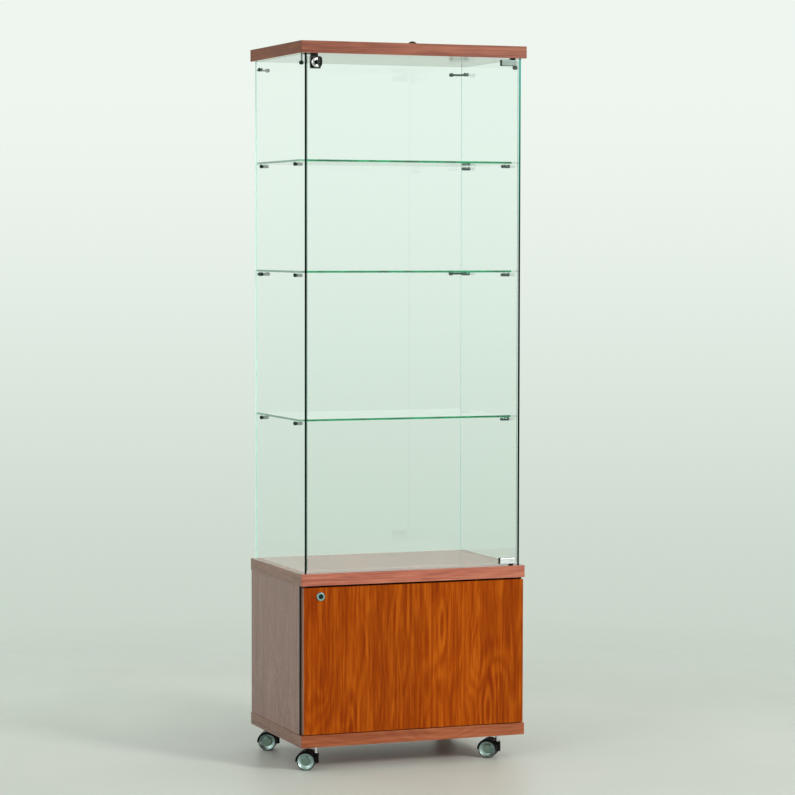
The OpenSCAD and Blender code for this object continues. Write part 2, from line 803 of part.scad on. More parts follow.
// The key stands upright in the plug: a flat blade, a neck and a round moulded head
module key() {
    head_y = ring_front - key_reach - key_head_d / 2;
    color("black") translate([glass_lock[0], 0, glass_lock[1]]) {
        translate([0, head_y, 0]) rotate([0, 90, 0]) difference() {
            cylinder(d = key_head_d, h = key_head_t, center = true);
            translate([0, -key_head_d * 0.28, 0]) cylinder(d = 4, h = key_head_t + 2, center = true);
        }
        span([-key_head_t / 2, head_y + key_head_d * 0.4, -4.5], [key_head_t / 2, ring_front - 1, 4.5]);
        span([-0.9, ring_front - 1, -3.8], [0.9, ring_front + 12, 3.8]);
    }
}

// ---------- casters ----------
// In its own place the caster swivels about the Z axis at X = 0; its wheels trail towards +X.

module caster_hood() {
    color("black") difference() {
        union() {
            intersection() {
                translate([caster_trail, -hood_half, axle_z]) y_rod(2 * hood_r, 2 * hood_half);
                span([caster_trail - hood_r, -hood_half, axle_z - 1], [caster_trail + hood_r, hood_half, axle_z + hood_r]);
            }
            translate([caster_trail, -core_w / 2, axle_z]) y_rod(axle_d + 10, core_w);
            translate([0, 0, axle_z - 6]) cylinder(d = core_w + 4, h = neck_top - axle_z + 6);
            span([0, -core_w / 2, axle_z - 6], [caster_trail, core_w / 2, axle_z]);
        }
        for (s = [-1, 1]) {
            translate([caster_trail, s > 0 ? core_w / 2 : -hood_half + cheek_t, axle_z])
                y_rod(2 * hood_in_r, hood_half - cheek_t - core_w / 2);
            translate([caster_trail, s > 0 ? core_w / 2 : -hood_half - 1, axle_z - 3.5])
                y_rod(cap_d + 5, hood_half + 1 - core_w / 2);
        }
        translate([caster_trail, -core_w, axle_z]) y_rod(axle_d + 0.1, 2 * core_w);
        translate([0, 0, axle_z - 3]) cylinder(d = stem_d + 2 * run_gap, h = neck_top);
        translate([0, 0, neck_top]) cylinder(d = collar_d + 1, h = hood_r);
    }
}

// The axle: a pin with a riveted head in each wheel
module caster_axle() {
    color("silver") translate([caster_trail, 0, axle_z]) {
        translate([0, -axle_end, 0]) y_rod(axle_d, 2 * axle_end);
        for (s = [-1, 1]) translate([0, s > 0 ? axle_end : -axle_end - head_t, 0]) y_rod(axle_head_d, head_t);
    }
}

// The left side of the caster as it is, the right side mirrored
module on_side(side) {
    if (side > 0) children();
    else mirror([0, 1, 0]) children();
}

// A wheel turned about Y: moulded hub and tread, bored for the axle, sunk for its cap
module caster_wheel(side) {
    r = wheel_d / 2;
    edge = 2;
    seat = wheel_w - cap_t;
    color("dimgray") translate([caster_trail, 0, axle_z]) on_side(side) rotate([-90, 0, 0])
        rotate_extrude($fn = 64) difference() {
            union() {
                translate([axle_d / 2 + run_gap, wheel_in]) square([r - edge - axle_d / 2 - run_gap, wheel_w]);
                translate([0, wheel_in + edge]) square([r, wheel_w - 2 * edge]);
                for (y = [wheel_in + edge, wheel_out - edge]) translate([r - edge, y]) circle(edge, $fn = 24);
            }
            translate([-1, wheel_in - 1]) square([axle_d / 2 + run_gap + 1, wheel_w + 2]);
            translate([-1, wheel_in + seat - head_t - 0.7]) square([axle_head_d / 2 + 1.5, wheel_w]);
            translate([-1, wheel_in + seat]) square([cap_d / 2 + 1.1, wheel_w]);
        }
}

// A wheel cap: a disc hollowed to a round dish inside its rim
module caster_cap(side) {
    r = cap_d / 2;
    rim = 1;
    dish_r = (pow(r - rim, 2) + pow(cap_dish, 2)) / (2 * cap_dish);
    color("darkgray") translate([caster_trail, 0, axle_z]) on_side(side) rotate([-90, 0, 0]) {
        difference() {
            translate([0, 0, wheel_out - cap_t]) rotate_extrude($fn = 64)
                polygon([[0, 0], [r, 0], [r, cap_t - 0.5], [r - 0.5, cap_t], [0, cap_t]]);
            translate([0, 0, wheel_out - cap_dish + dish_r]) sphere(r = dish_r, $fn = 96);
        }
        translate([0, 0, wheel_out - cap_t]) cylinder(d = cap_hub_d, h = cap_t - cap_hub_drop, $fn = 64);
    }
}

module caster_part(part) {
    if (part == "hood") caster_hood();
    if (part == "axle") caster_axle();
    if (part == "left_wheel") caster_wheel(1);
    if (part == "right_wheel") caster_wheel(-1);
    if (part == "left_cap") caster_cap(1);
    if (part == "right_cap") caster_cap(-1);
}

// The fixed part of a caster: a square plate with its stem and collar
module caster_plate() {
    translate([-plate_w / 2, -plate_w / 2, caster_h - plate_t]) difference() {
        rounded_plate(plate_w, plate_w, plate_t, 4);
        for (i = [-1, 1], j = [-1, 1])
            translate([plate_w / 2 + i * caster_hole, plate_w / 2 + j * caster_hole, -1]) cylinder(d = 4.6, h = plate_t + 2);
    }
    translate([0, 0, axle_z]) cylinder(d = stem_d, h = caster_h - plate_t - axle_z);
    translate([0, 0, neck_top + 0.3]) cylinder(d = collar_d, h = collar_t);
    translate([0, 0, caster_h - plate_t - 3]) cylinder(d1 = stem_d, d2 = stem_d + 8, h = 3);
}

module at_casters() {
    for (c = CASTERS) translate([c[1], c[2], 0]) children();
}

module caster_plates() {
    color("silver") at_casters() caster_plate();
}

module caster_screws() {
    color("silver") at_casters() for (i = [-1, 1], j = [-1, 1])
        translate([i * caster_hole, j * caster_hole, caster_h - plate_t]) mirror([0, 0, 1]) round_head(7.5, 2.2);
}

// ---------- the case ----------

bottom_panel();
left_side_panel();
right_side_panel();
base_back_panel();
base_top_panel();
top_panel();
top_plug();
left_glass();
right_glass();
back_glass();
shelf(SHELF_Z[0]);  // lower_shelf
shelf(SHELF_Z[1]);  // middle_shelf
shelf(SHELF_Z[2]);  // upper_shelf
shelf_supports();
shelf_pads();
corner_connectors();
roof_connectors();
pivot_bushes();
lock_strikes();
door_seals();
hinge_arms();
caster_plates();
caster_screws();
glass_door_pane();
hinge_clamps();
clamp_gaskets();
clamp_screws();
glass_lock_case();
glass_lock_plug();
glass_lock_cam();
key();
base_door_panel();
hinge_cups();
base_lock_barrel();
base_lock_plug();
base_lock_cam();
for (c = CASTERS, p = CASTER_PARTS)
    translate([c[1], c[2], 0]) rotate([0, 0, c[3]]) caster_part(p);
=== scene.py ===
"""Looks of the tall glass display case: laminate, glass, metal and plastic, light, floor and camera."""

import math

import bpy
from mathutils import Matrix, Vector


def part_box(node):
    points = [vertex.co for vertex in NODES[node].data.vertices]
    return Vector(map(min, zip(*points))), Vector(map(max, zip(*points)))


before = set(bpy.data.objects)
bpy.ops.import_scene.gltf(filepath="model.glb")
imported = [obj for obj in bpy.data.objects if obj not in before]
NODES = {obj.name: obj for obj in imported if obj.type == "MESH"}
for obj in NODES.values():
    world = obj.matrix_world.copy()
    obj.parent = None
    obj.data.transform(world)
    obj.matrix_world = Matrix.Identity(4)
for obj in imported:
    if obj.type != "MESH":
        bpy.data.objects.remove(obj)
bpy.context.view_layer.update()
MM = 0.001

# ---------- camera ----------

IMAGE = 795  # the image is square, so many pixels on each side
FOCAL_PX = 2899.9
SENSOR = 36.0  # millimetres
FAR = 60  # metres, the end of what the camera sees
CAMERA_AT = (-2.6337, -6.9215, 1.3117)
YAW, PITCH, ROLL = math.radians(21.068), math.radians(3.047), math.radians(0.10)
CENTRE_PX = (398.5, 397.5)


def make_camera():
    forward = Vector((math.sin(YAW) * math.cos(PITCH), math.cos(YAW) * math.cos(PITCH), -math.sin(PITCH)))
    level = forward.cross(Vector((0, 0, 1))).normalized()
    upright = level.cross(forward)
    right = math.cos(ROLL) * level + math.sin(ROLL) * upright
    up = right.cross(forward)
    data = bpy.data.cameras.new("camera")
    data.sensor_width = SENSOR
    data.lens = FOCAL_PX * SENSOR / IMAGE
    data.shift_x = (IMAGE / 2 - CENTRE_PX[0]) / IMAGE
    data.shift_y = (CENTRE_PX[1] - IMAGE / 2) / IMAGE
    data.clip_end = FAR
    camera = bpy.data.objects.new("camera", data)
    camera.matrix_world = Matrix.Translation(CAMERA_AT) @ Matrix((right, up, -forward)).transposed().to_4x4()
    bpy.context.scene.collection.objects.link(camera)
    bpy.context.scene.camera = camera


# ---------- shader nodes ----------


def srgb(r, g, b):
    """A display colour, 0 to 255, as the linear colour that nodes take."""

    def linear(value):
        share = value / 255
        return share / 12.92 if share <= 0.04045 else ((share + 0.055) / 1.055) ** 2.4

    return linear(r), linear(g), linear(b), 1.0


class Tree:
    """A short way to write a material's nodes."""

    def __init__(self, name):
        self.material = bpy.data.materials.new(name)
        self.material.use_nodes = True
        self.tree = self.material.node_tree
        self.shader = self.tree.nodes["Principled BSDF"]
        self.output = self.tree.nodes["Material Output"]

    def set(self, node, values):
        for key, value in values.items():
            socket = node.inputs[key]
            if isinstance(value, bpy.types.NodeSocket):
                self.tree.links.new(value, socket)
            else:
                socket.default_value = value

    def add(self, kind, values, **settings):
        node = self.tree.nodes.new(kind)
        for key, value in settings.items():
            setattr(node, key, value)
        self.set(node, values)
        return node

    def place(self, scale, offset=(0, 0, 0)):
        """Points on the case, in metres, stretched by scale."""
        coords = self.tree.nodes.new("ShaderNodeTexCoord").outputs["Object"]
        return self.add("ShaderNodeMapping", {"Vector": coords, "Scale": scale, "Location": offset}).outputs[0]

    def noise(self, scale, detail=3.0, rough=0.55, offset=(0, 0, 0), warp=0.0):
        values = {"Vector": self.place(scale, offset), "Scale": 1.0, "Detail": detail, "Roughness": rough,
                  "Distortion": warp}
        return self.add("ShaderNodeTexNoise", values).outputs["Fac"]

    def math(self, operation, a, b=0.0, c=0.0):
        return self.add("ShaderNodeMath", {0: a, 1: b, 2: c}, operation=operation).outputs[0]

    def ramp(self, fac, stops):
        """A colour ramp from (position, colour) stops."""
        node = self.add("ShaderNodeValToRGB", {"Fac": fac})
        band = node.color_ramp
        while len(band.elements) < len(stops):
            band.elements.new(0.5)
        for element, (position, colour) in zip(band.elements, stops):
            element.position = position
            element.color = colour
        return node.outputs["Color"]

    def mix(self, fac, a, b, mode="MIX"):
        node = self.tree.nodes.new("ShaderNodeMix")
        node.data_type = "RGBA"
        node.blend_type = mode
        sockets = {s.identifier: s for s in node.inputs}
        for key, value in (("Factor_Float", fac), ("A_Color", a), ("B_Color", b)):
            if isinstance(value, bpy.types.NodeSocket):
                self.tree.links.new(value, sockets[key])
            else:
                sockets[key].default_value = value
        return next(s for s in node.outputs if s.identifier == "Result_Color")

    def bump(self, height, strength, distance):
        return self.add("ShaderNodeBump", {"Height": height, "Strength": strength, "Distance": distance}).outputs[0]

    def span(self, fac, low, high):
        """fac from 0 to 1 as a number from low to high."""
        return self.add("ShaderNodeMapRange", {"Value": fac, "To Min": low, "To Max": high}).outputs[0]

    def finish(self, **values):
        self.set(self.shader, {key.replace("_", " "): value for key, value in values.items()})
        return self.material


# ---------- materials ----------


RINGS, DRIFT = 17.0, 5.0  # how many growth rings the slow waves of the grain carry, and how far they drift
RING_SHARE, STREAK_SHARE, FIBRE_SHARE, BAND_SHARE = 0.055, 0.46, 0.32, 0.22  # what makes up the grain's shade
MEAN, REACH = 0.53, 0.14  # the middle of that shade, and how far its dark and light lie from it
ARCH_ACROSS, ARCH_ALONG = 24.0, 3.8  # the scale of the arches, per metre: they are tall and narrow
ARCH_LINES, ARCH_WAVES, ARCH_DEPTH = 22.0, 6.0, 0.10  # their lines, how much these wave, and how dark they are
PORES_MIX, POOL_MIX = 0.4, 0.8  # how strongly the pores and the slow pools of tone colour the wood


def cherry(name, along, dark, middle, light, shift=(0, 0, 0), contrast=1.0, crisp=1.0,
           gloss=(0.30, 0.42), shine=0.5, coat=0.0, arches=()):
    """Cherry laminate with its grain along one axis, 0 for X, 1 for Y and 2 for Z. contrast strengthens its rings,
    and crisp steepens its light and dark. arches lists its tall nested arches: middle x and z in metres, and size."""

    def stretched(across, length):
        return tuple(length if axis == along else across for axis in range(3))

    t = Tree(name)
    flow = t.noise(stretched(8.0, 1.7), 2.0, 0.5, shift, 0.25)
    drift = t.noise(stretched(2.6, 0.5), 1.0, 0.5, (3.1, 1.7, 0.4))
    lines = t.math("MULTIPLY_ADD", flow, RINGS, t.math("MULTIPLY", drift, DRIFT))
    rings = t.math("MULTIPLY_ADD", t.math("SINE", t.math("MULTIPLY", lines, 2 * math.pi)), 0.5, 0.5)
    streaks = t.noise(stretched(150.0, 5.0), 4.0, 0.6, (1.3, 0.2, 2.2), 0.4)
    bands = t.noise(stretched(34.0, 2.0), 2.0, 0.5, (0.3, 2.2, 1.2))
    fibres = t.noise(stretched(430.0, 14.0), 3.0, 0.6)
    shade = t.math("MULTIPLY_ADD", rings, RING_SHARE * contrast, t.math("MULTIPLY", streaks, STREAK_SHARE))
    shade = t.math("MULTIPLY_ADD", fibres, FIBRE_SHARE, t.math("MULTIPLY_ADD", bands, BAND_SHARE, shade))
    for x, z, size in arches:
        wide, tall = ARCH_ACROSS / size, ARCH_ALONG / size
        apart = t.place((wide, 0.0, tall), (-wide * x, 0.0, -tall * z))
        near = t.add("ShaderNodeVectorMath", {0: apart}, operation="LENGTH").outputs["Value"]
        nest = t.math("SINE", t.math("MULTIPLY_ADD", near, ARCH_LINES * size, t.math("MULTIPLY", flow, ARCH_WAVES)))
        fade = t.math("MAXIMUM", t.math("MULTIPLY_ADD", near, -ARCH_DEPTH, ARCH_DEPTH), 0.0)
        shade = t.math("MULTIPLY_ADD", nest, fade, shade)
    colour = t.ramp(shade, [(MEAN - REACH / crisp, dark), (MEAN, middle), (MEAN + REACH / crisp, light)])
    pores = t.ramp(t.noise(stretched(760.0, 22.0), 1.0, 0.5), [(0.30, (0.55, 0.48, 0.44, 1)), (0.40, (1, 1, 1, 1))])
    colour = t.mix(PORES_MIX, colour, pores, "MULTIPLY")
    pool = t.ramp(drift, [(0.35, (0.92, 0.90, 0.88, 1)), (0.65, (1.05, 1.04, 1.03, 1))])
    colour = t.mix(POOL_MIX, colour, pool, "MULTIPLY")
    return t.finish(Base_Color=colour, Roughness=t.span(streaks, *gloss), Normal=t.bump(streaks, 0.10, 0.0004),
                    IOR=1.5, Specular_IOR_Level=shine, Coat_Weight=coat, Coat_Roughness=0.12, Coat_IOR=1.6)


GLASS_IOR = 1.5


def clear(name, tint, shadow, rough=0.0):
    """Glass or clear plastic that lets the lamps through, with a faint smear of handling. shadow is the colour of
    the light behind it."""
    t = Tree(name)
    smear = t.noise((6.0, 6.0, 4.0), 3.0, 0.6)
    t.finish(Base_Color=tint, Roughness=rough, IOR=GLASS_IOR, Transmission_Weight=1.0,
             Normal=t.bump(smear, 0.015, 0.0003))
    lamps = t.tree.nodes.new("ShaderNodeLightPath").outputs["Is Shadow Ray"]
    through = t.add("ShaderNodeBsdfTransparent", {"Color": shadow}).outputs[0]
    both = t.tree.nodes.new("ShaderNodeMixShader")
    t.tree.links.new(lamps, both.inputs[0])
    t.tree.links.new(t.shader.outputs[0], both.inputs[1])
    t.tree.links.new(through, both.inputs[2])
    t.tree.links.new(both.outputs[0], t.output.inputs["Surface"])
    return t.material


PAINTED_LIGHT_MIX = 0.75  # how far the painted light and shade up a tall edge cover its own colours


def edge(name, deep, pale, painted_light_up=None, shine=0.15):
    """The polished edge of float glass, deep green by the long way through it.
    The optional list paints light and shade up a tall edge, dark low and pale high as light from above runs down the
    glass: height in metres, and colour."""
    t = Tree(name)
    depth = t.noise((30.0, 30.0, 5.0), 3.0, 0.6)
    colour = t.ramp(depth, [(0.35, deep), (0.68, pale)])
    if painted_light_up:
        up = t.add("ShaderNodeSeparateXYZ", {"Vector": t.place((1, 1, 1))}).outputs["Z"]
        tall = painted_light_up[-1][0]
        light = t.ramp(t.math("DIVIDE", up, tall), [(z / tall, tint) for z, tint in painted_light_up])
        colour = t.mix(PAINTED_LIGHT_MIX, colour, light)
    return t.finish(Base_Color=colour, Roughness=0.12, IOR=GLASS_IOR, Specular_IOR_Level=shine,
                    Normal=t.bump(t.noise((900.0, 900.0, 900.0)), 0.03, 0.0001))


WEAR, DUST = 0.06, 0.12  # how much rougher the worn places of a metal and the dusty ones of a plastic are


def metal(name, colour, rough, brushed=None):
    """Plated or brushed metal. brushed is the stretch of its fine lines."""
    t = Tree(name)
    cloud = t.noise((60.0, 60.0, 60.0), 4.0, 0.6)
    fine = t.noise(brushed or (900.0, 900.0, 900.0), 2.0, 0.6)
    tone = t.ramp(cloud, [(0.30, tuple(c * 0.88 for c in colour[:3]) + (1,)), (0.70, colour)])
    return t.finish(Base_Color=tone, Metallic=1.0, Roughness=t.span(cloud, rough, rough + WEAR),
                    Normal=t.bump(fine, 0.04 if brushed is None else 0.12, 0.00005))


def plastic(name, colour, pale, rough, texture=700.0, strength=0.12, shine=0.5):
    """Moulded plastic or rubber with a fine spark-eroded texture and a little dust in it."""
    t = Tree(name)
    cloud = t.noise((45.0, 45.0, 45.0), 5.0, 0.6)
    grit = t.noise((texture, texture, texture), 2.0, 0.5)
    return t.finish(Base_Color=t.ramp(cloud, [(0.35, colour), (0.75, pale)]),
                    Roughness=t.span(cloud, rough, rough + DUST),
                    Normal=t.bump(grit, strength, 0.0001), IOR=1.48, Specular_IOR_Level=shine)


SLAB = dict(dark=srgb(142, 73, 56), middle=srgb(177, 100, 78), light=srgb(202, 126, 99))
# the base top's ends: a darker, greyer copy of its laminate, painted shade with a painted sheen of grazing reflection
SLAB_END_PAINTED_SHADE_SHEEN = dict(dark=srgb(112, 72, 58), middle=srgb(138, 94, 76), light=srgb(158, 114, 96))
# its upper and lower faces: a darker copy of its laminate, painted shade
SLAB_FACE_PAINTED_SHADE = dict(dark=srgb(102, 57, 43), middle=srgb(130, 78, 60), light=srgb(152, 98, 79))
# the bottom slab: a darker copy of the base top's laminate, painted shade
SOLE_PAINTED_SHADE = dict(dark=srgb(123, 60, 32), middle=srgb(154, 82, 48), light=srgb(176, 104, 68))
# the bottom slab's ends: a darker, greyer copy of its laminate, painted shade with a painted sheen of grazing
# reflection
SOLE_END_PAINTED_SHADE_SHEEN = dict(dark=srgb(108, 70, 56), middle=srgb(132, 90, 72), light=srgb(152, 110, 92))
# the top slab: a darker copy of the base top's laminate, painted shade
ROOF_PAINTED_SHADE = dict(dark=srgb(104, 50, 32), middle=srgb(134, 70, 48), light=srgb(158, 92, 66))
# the top slab's ends: a darker copy of its laminate, painted shade
ROOF_END_PAINTED_SHADE = dict(dark=srgb(96, 43, 8), middle=srgb(122, 58, 14), light=srgb(144, 78, 27))
# the side and back panels: a darker, greyer copy of the laminate, painted shade with a painted sheen of grazing
# reflection
SIDE_PAINTED_SHADE_SHEEN = dict(dark=srgb(121, 84, 73), middle=srgb(139, 99, 88), light=srgb(155, 115, 104))
DOOR = dict(dark=srgb(130, 46, 0), middle=srgb(154, 65, 0), light=srgb(184, 91, 12))
# the door's side edges: a paler, greyer copy of its laminate, painted light
DOOR_EDGE_PAINTED_LIGHT = dict(dark=srgb(132, 88, 70), middle=srgb(160, 114, 94), light=srgb(178, 132, 110))
DOOR_ARCHES = ((0.20, 0.13, 1.0), (0.074, 0.35, 0.55), (-0.17, 0.10, 0.7))
# painted light and shade: a glass edge near-black low and pale teal high, as light from above runs down the pane
PAINTED_LIGHT_FROM_ABOVE = ((0.95, srgb(0, 6, 4)), (1.30, srgb(0, 30, 22)), (1.48, srgb(4, 104, 90)), (1.78, srgb(66, 186, 168)))
SHEEN = (0.22, 0.34)  # from the smoothest to the roughest streak of the slabs
X, Y, Z = 0, 1, 2

M = {
    "slab": cherry("cherry_slab", X, **SLAB, shift=(0.3, 0.1, 0.6), gloss=SHEEN),
    "slab_end": cherry("cherry_slab_end_painted_shade", Y, **SLAB_END_PAINTED_SHADE_SHEEN, shift=(0.3, 0.9, 0.2), gloss=SHEEN, shine=0.4),
    "sole": cherry("cherry_sole_painted_shade", X, **SOLE_PAINTED_SHADE, shift=(0.55, 0.2, 0.75), gloss=SHEEN, shine=0.25),
    "sole_end": cherry("cherry_sole_end_painted_shade", Y, **SOLE_END_PAINTED_SHADE_SHEEN, shift=(0.1, 0.9, 0.4), gloss=SHEEN, shine=0.4),
    "sole_face": cherry("cherry_sole_face_painted_shade", X, **SOLE_PAINTED_SHADE, shift=(0.55, 0.2, 0.75), gloss=(0.3, 0.4), shine=0.25),
    "slab_face": cherry("cherry_slab_face_painted_shade", X, **SLAB_FACE_PAINTED_SHADE, shift=(0.3, 0.1, 0.6), contrast=0.6,
                        gloss=(0.2, 0.3), shine=0.22, coat=0.22),
    "roof": cherry("cherry_roof_painted_shade", X, **ROOF_PAINTED_SHADE, shift=(0.7, 0.4, 0.9), gloss=SHEEN, shine=0.3),
    "roof_end": cherry("cherry_roof_end_painted_shade", Y, **ROOF_END_PAINTED_SHADE, shift=(0.3, 0.5, 0.2), gloss=(0.3, 0.4), shine=0.1),
    "roof_face": cherry("cherry_roof_face_painted_shade", X, **ROOF_PAINTED_SHADE, shift=(0.7, 0.4, 0.9), gloss=(0.14, 0.20), coat=1.0),
    "side": cherry("cherry_side", Z, **SIDE_PAINTED_SHADE_SHEEN, shift=(0.2, 0.4, 0.1), gloss=(0.22, 0.32)),
    "door": cherry("cherry_door", Z, **DOOR, shift=(0.62, 0.2, 0.33), crisp=1.15, shine=0.06, arches=DOOR_ARCHES),
    "door_edge_painted_light": cherry("cherry_door_edge_painted_light", Z, **DOOR_EDGE_PAINTED_LIGHT, shift=(0.1, 0.2, 0.3)),
    "glass": clear("clear_glass", (0.955, 0.992, 0.975, 1), (0.93, 0.97, 0.95, 1)),
    "edge": edge("glass_edge", srgb(0, 84, 52), srgb(0, 132, 84), shine=0.03),
    "edge_end": edge("glass_edge_end", srgb(0, 96, 62), srgb(0, 144, 98), shine=0.03),
    # the left pane's front edge painted near-black: painted shade
    "edge_painted_shade": edge("glass_edge_painted_shade", srgb(0, 8, 6), srgb(0, 28, 22), shine=0.03),
    # the right pane's front edge: painted shade below, painted light from above higher up
    "edge_painted_light_and_shade": edge("glass_edge_painted_light_and_shade", srgb(0, 16, 12), srgb(4, 52, 42), PAINTED_LIGHT_FROM_ABOVE, shine=0.03),
    "edge_side": edge("glass_edge_side", srgb(10, 100, 74), srgb(60, 150, 122)),
    # pale glass edges: painted light where light catches the edges
    "edge_painted_light": edge("glass_edge_painted_light", srgb(158, 222, 206), srgb(206, 244, 234), shine=0.5),
    "pad": clear("clear_pad", (0.86, 0.90, 0.88, 1), (0.85, 0.88, 0.86, 1), 0.25),
    "satin": metal("satin_chrome", (0.86, 0.88, 0.89, 1), 0.28),
    # the upper hinge clamp's front: a darker copy of its chrome, painted shade
    "clamp": metal("clamp_chrome_painted_shade", (0.137, 0.175, 0.16, 1), 0.26),
    "rosette": metal("rosette_chrome", (0.36, 0.56, 0.60, 1), 0.10),
    "dark_metal": metal("dark_chrome", (0.025, 0.055, 0.045, 1), 0.16),
    "zinc": metal("zinc_steel", (0.62, 0.63, 0.65, 1), 0.24, (300.0, 300.0, 20.0)),
    "black_steel": plastic("black_steel", srgb(26, 26, 28), srgb(38, 38, 40), 0.35, 500.0, 0.2),
    "black": plastic("black_plastic", srgb(5, 5, 6), srgb(14, 14, 15), 0.14, strength=0.06, shine=0.2),
    "hood": plastic("black_hood", srgb(3, 3, 4), srgb(9, 10, 10), 0.34, strength=0.06, shine=0.08),
    "rubber": plastic("black_rubber", srgb(10, 10, 11), srgb(22, 22, 22), 0.55, 900.0, 0.2),
    "tread": plastic("caster_tread", srgb(20, 20, 21), srgb(42, 42, 42), 0.42),
    "cap": metal("silver_cap", (0.34, 0.45, 0.43, 1), 0.30),
    # the darker metal of each wheel cap's middle: a painted dark reflection in the dish
    "hub": metal("silver_hub", (0.17, 0.24, 0.20, 1), 0.34),
}


# ---------- dressing the nodes ----------


WELD_WITHIN = 0.02 * MM
BEVEL_STEPS = 2
BEVEL_FROM = math.radians(30)
FACING = 0.7  # a face looks along an axis when its normal has that much of it
NEAR = 2 * MM  # how close to its box the faces of a pane's edges lie
SIDE_PANE_FRONT, SIDE_PANE_BACK, BACK_PANE_END = -0.18, 0.19, 0.28  # beyond these, in metres, the panes' edges lie
CLAMP_FRONT, LOCK_RING_FRONT = -0.19, -0.1851  # metres on Y: only the named faces lie before them
BETWEEN_CLAMPS = 1.0  # metres up: one hinge clamp is above it and one below
PAINTED_HUB_REACH = 12 * MM  # the darker middle of a wheel cap, a painted dark reflection, lies within this of the cap's centre


def paint(node, material, bevel=0.0):
    """One material on a node, its corners eased by a bevel of so many millimetres."""
    obj = NODES[node]
    mesh = obj.data
    mesh.materials.clear()
    mesh.materials.append(M[material])
    if "custom_normal" in mesh.attributes:
        mesh.attributes.remove(mesh.attributes["custom_normal"])
    if not bevel:
        mesh.shade_flat()
        return obj
    mesh.shade_smooth()
    weld = obj.modifiers.new("weld", "WELD")
    weld.merge_threshold = WELD_WITHIN
    ease = obj.modifiers.new("ease", "BEVEL")
    ease.width = bevel * MM
    ease.segments = BEVEL_STEPS
    ease.limit_method = "ANGLE"
    ease.angle_limit = BEVEL_FROM
    ease.use_clamp_overlap = True
    obj.modifiers.new("normals", "WEIGHTED_NORMAL").keep_sharp = True
    return obj


def also(obj, material, pick):
    """A second material on the faces that pick(centre, normal) is true for."""
    mesh = obj.data
    mesh.materials.append(M[material])
    index = len(mesh.materials) - 1
    for face in mesh.polygons:
        if pick(face.center, face.normal):
            face.material_index = index


# the bottom and top slabs carry darker copies of the base top's laminate: painted shade
for node, look in (("bottom_panel", "sole"), ("base_top_panel", "slab"), ("top_panel", "roof")):
    slab = paint(node, look, 0.5)
    # the ends of each slab: a darker copy of its laminate, painted shade
    also(slab, look + "_end", lambda c, n: abs(n.x) > FACING)
    # the upper and lower faces: painted shade, darker than the base top's front
    also(slab, look + "_face", lambda c, n: abs(n.z) > FACING)
# the side and back panels get painted shade and a painted sheen of grazing reflection
for node in ("left_side_panel", "right_side_panel", "base_back_panel"):
    paint(node, "side", 0.4)
door = paint("base_door_panel", "door", 0.5)
# the door's side edges get painted light
also(door, "door_edge_painted_light", lambda c, n: abs(n.x) > FACING)

for node, rim in (("left_glass", "edge_painted_shade"), ("right_glass", "edge_painted_light_and_shade")):
    pane = paint(node, "glass")
    # the front edges: painted shade on the left pane, painted shade below and painted light above on the right one
    also(pane, rim, lambda c, n: n.y < -FACING and c.y < SIDE_PANE_FRONT)
    # the back edges of the side panes get painted light
    also(pane, "edge_painted_light", lambda c, n: n.y > FACING and c.y > SIDE_PANE_BACK)
pane = paint("back_glass", "glass")
# the back pane's side edges get painted light
also(pane, "edge_painted_light", lambda c, n: abs(n.x) > FACING and abs(c.x) > BACK_PANE_END)
pane = paint("glass_door_pane", "glass")
low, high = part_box("glass_door_pane")
# the door pane's top and bottom edges get painted light
also(pane, "edge_painted_light", lambda c, n: abs(n.z) > FACING and (c.z < low.z + NEAR or c.z > high.z - NEAR))
also(pane, "edge_side", lambda c, n: abs(n.x) > FACING and (c.x < low.x + NEAR or c.x > high.x - NEAR))
for node in ("lower_shelf", "middle_shelf", "upper_shelf"):
    pane = paint(node, "glass")
    also(pane, "edge", lambda c, n: abs(n.z) < FACING)
    also(pane, "edge_end", lambda c, n: abs(n.x) > FACING)

for node in ("shelf_supports", "corner_connectors", "roof_connectors"):
    paint(node, "dark_metal", 0.25)
clamps = paint("hinge_clamps", "dark_metal", 0.25)
# the upper clamp's front is painted darker than the lower one's: painted shade
also(clamps, "clamp", lambda c, n: n.y < -FACING and c.y < CLAMP_FRONT and c.z > BETWEEN_CLAMPS)
also(clamps, "satin", lambda c, n: n.y < -FACING and c.y < CLAMP_FRONT and c.z < BETWEEN_CLAMPS)
for node in ("base_lock_plug", "glass_lock_plug"):
    paint(node, "dark_metal", 0.12)
paint("base_lock_barrel", "rosette", 0.3)
lock_case = paint("glass_lock_case", "black", 0.3)
also(lock_case, "satin", lambda c, n: c.y < LOCK_RING_FRONT)
for node in ("hinge_arms", "hinge_cups", "caster_plates", "caster_screws", "clamp_screws", "base_lock_cam",
             "glass_lock_cam"):
    paint(node, "zinc", 0.15)
paint("shelf_pads", "pad")
paint("lock_strikes", "black_steel", 0.2)
paint("top_plug", "black", 0.2)
paint("pivot_bushes", "black", 0.2)
paint("key", "black", 0.6)
paint("clamp_gaskets", "rubber")
paint("door_seals", "rubber", 0.3)
for corner in ("front_left", "front_right", "rear_left", "rear_right"):
    paint(corner + "_caster_hood", "hood", 0.4)
    paint(corner + "_caster_axle", "zinc", 0.2)
    for side in ("left", "right"):
        paint(f"{corner}_caster_{side}_wheel", "tread", 0.2)
        cap = paint(f"{corner}_caster_{side}_cap", "cap", 0.2)
        low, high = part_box(f"{corner}_caster_{side}_cap")
        middle = (low + high) / 2
        axis = max(cap.data.polygons, key=lambda face: face.area).normal.copy()
        # the flat middle of each cap gets a darker metal: painted dark reflection in the dish
        also(cap, "hub", lambda c, n: abs(n.dot(axis)) > 0.99 and (c - middle).length < PAINTED_HUB_REACH)


# ---------- floor, background and light ----------


FLOOR_RADIUS, FADE_FROM, FADE_TO = 3.0, 0.9, 2.9  # metres: the floor fades out towards its rim
ROOM_LIGHT = 0.62  # the strength of the light from all round


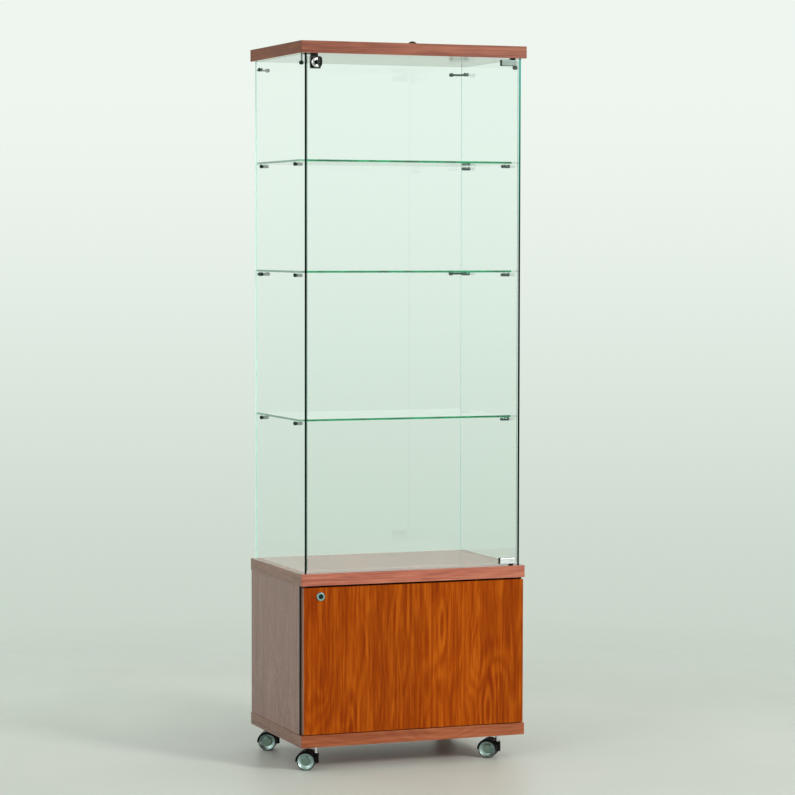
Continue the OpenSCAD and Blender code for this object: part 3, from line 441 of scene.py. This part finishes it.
def make_stage():
    bpy.ops.mesh.primitive_circle_add(vertices=128, radius=FLOOR_RADIUS, fill_type="NGON", location=(0, 0, 0))
    floor = bpy.context.object
    floor.name = "floor"
    t = Tree("pale_floor")
    cloud = t.noise((1.4, 1.4, 1.4), 3.0, 0.5)
    pale = t.ramp(cloud, [(0.3, srgb(204, 208, 198)), (0.7, srgb(212, 216, 207))])
    out = t.add("ShaderNodeVectorMath", {0: t.place((1, 1, 0))}, operation="LENGTH").outputs["Value"]
    span = {"Value": out, "From Min": FADE_FROM, "From Max": FADE_TO, "To Min": 1.0, "To Max": 0.0}
    fade = t.add("ShaderNodeMapRange", span, interpolation_type="SMOOTHSTEP").outputs[0]
    floor.data.materials.append(t.finish(Base_Color=pale, Roughness=0.45, Alpha=fade))

    world = bpy.data.worlds.new("studio")
    bpy.context.scene.world = world
    world.use_nodes = True
    tree = world.node_tree
    tree.nodes.clear()
    light = tree.nodes.new("ShaderNodeBackground")
    light.inputs["Color"].default_value = (0.93, 0.97, 0.95, 1)
    light.inputs["Strength"].default_value = ROOM_LIGHT
    seen = tree.nodes.new("ShaderNodeBackground")
    seen.inputs["Strength"].default_value = 1.0
    coords = tree.nodes.new("ShaderNodeTexCoord")
    parts = tree.nodes.new("ShaderNodeSeparateXYZ")
    tree.links.new(coords.outputs["Generated"], parts.inputs[0])
    wall = tree.nodes.new("ShaderNodeMapRange")
    wall.interpolation_type = "SMOOTHSTEP"
    for key, value in (("From Min", -0.16), ("From Max", 0.06)):
        wall.inputs[key].default_value = value
    tree.links.new(parts.outputs["Z"], wall.inputs["Value"])
    shade = tree.nodes.new("ShaderNodeValToRGB")
    shade.color_ramp.elements[0].color = srgb(200, 212, 200)
    shade.color_ramp.elements[1].color = srgb(238, 246, 239)
    tree.links.new(wall.outputs[0], shade.inputs[0])
    tree.links.new(shade.outputs[0], seen.inputs["Color"])
    path = tree.nodes.new("ShaderNodeLightPath")
    first, rays = path.outputs["Is Camera Ray"], ("Is Glossy Ray", "Is Transmission Ray")
    for ray in rays:
        top = tree.nodes.new("ShaderNodeMath")
        top.operation = "MAXIMUM"
        tree.links.new(first, top.inputs[0])
        tree.links.new(path.outputs[ray], top.inputs[1])
        first = top.outputs[0]
    both = tree.nodes.new("ShaderNodeMixShader")
    tree.links.new(first, both.inputs[0])
    tree.links.new(light.outputs[0], both.inputs[1])
    tree.links.new(seen.outputs[0], both.inputs[2])
    tree.links.new(both.outputs[0], tree.nodes.new("ShaderNodeOutputWorld").inputs[0])


def lamp(name, at, aim, size, watts, tint=(1, 1, 1)):
    data = bpy.data.lights.new(name, "AREA")
    data.shape = "DISK"
    data.size = size
    data.energy = watts
    data.color = tint
    obj = bpy.data.objects.new(name, data)
    obj.location = at
    obj.rotation_euler = (Vector(aim) - Vector(at)).to_track_quat("-Z", "Y").to_euler()
    bpy.context.scene.collection.objects.link(obj)


make_camera()
make_stage()
lamp("key", (4.2, -7.4, 4.4), (0, 0, 0.8), 2.2, 460, (1.0, 0.98, 0.95))
lamp("fill", (-4.5, -3.0, 2.4), (0, 0, 0.8), 3.0, 60, (0.95, 0.98, 1.0))

bpy.context.scene.view_settings.view_transform = "Standard"
